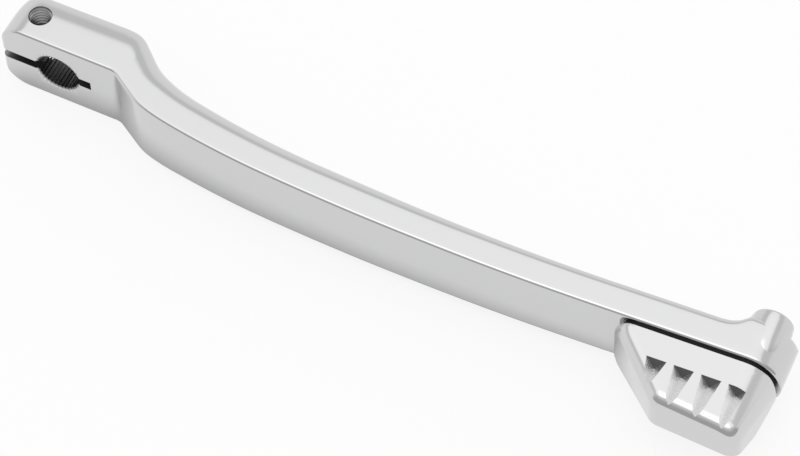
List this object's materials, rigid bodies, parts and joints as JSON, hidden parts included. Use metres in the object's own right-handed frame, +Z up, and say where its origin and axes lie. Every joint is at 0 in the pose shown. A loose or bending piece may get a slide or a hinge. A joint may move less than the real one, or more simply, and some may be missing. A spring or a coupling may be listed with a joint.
{
  "type": "motorcycle gear shift lever",
  "caption": "Chromed motorcycle gear shift lever with a serrated split clamp, a long bent arm and a notched toe pad on a thin gasket.",
  "frame": {"origin": "centre of the serrated shaft bore, half way through the clamp", "axes": "+X along the lever towards the toe pad, +Y along the bore away from the toe pad's side, +Z up towards the flat top face"},
  "size_m": [0.2838, 0.0569, 0.029],
  "materials": {
    "arm_chrome": "polished chrome plate",
    "pad_chrome": "polished chrome plate",
    "gasket_rubber": "matt black",
    "fastener_steel": "zinc plated"
  },
  "bodies": {
    "root": {"lever_arm": "arm_chrome", "toe_pad": "pad_chrome", "pad_gasket": "gasket_rubber", "pad_screw": "fastener_steel", "lock_washer": "fastener_steel", "locating_pin": "fastener_steel"}
  },
  "joints": []
}
